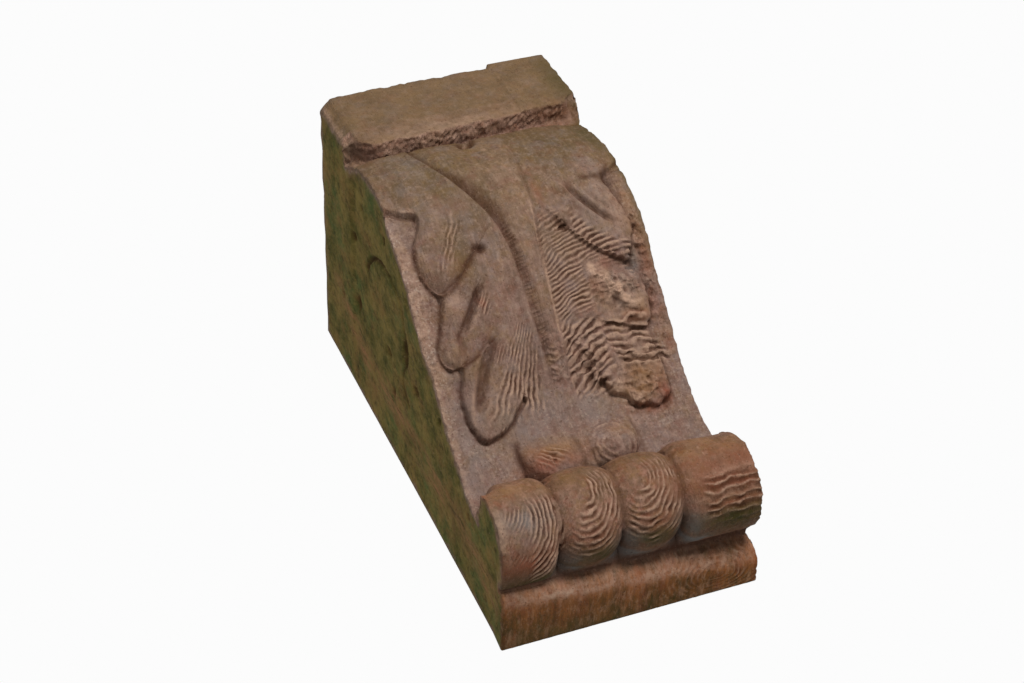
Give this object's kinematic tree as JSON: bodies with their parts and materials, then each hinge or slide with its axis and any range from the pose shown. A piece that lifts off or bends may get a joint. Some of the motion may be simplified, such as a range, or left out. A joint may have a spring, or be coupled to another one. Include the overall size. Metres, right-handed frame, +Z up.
{
  "type": "acanthus leaf wall corbel",
  "caption": "Scroll-fronted wall corbel with a flat top block, a raised acanthus leaf down its curved front, buds, a beaded roll and a flat foot fillet.",
  "frame": {"origin": "middle of the flat back face, which lies against the wall", "axes": "+Z up to the bearing top, +Y into the wall, -Y out to the carved front, +X to the right seen from the front"},
  "size_m": [0.1446, 0.161, 0.293],
  "materials": {
    "stained_foam": "brown faux-wood stain with an olive tinge in the shaded sides, satin to matte"
  },
  "bodies": {
    "root": {"corbel": "stained_foam"}
  },
  "joints": []
}
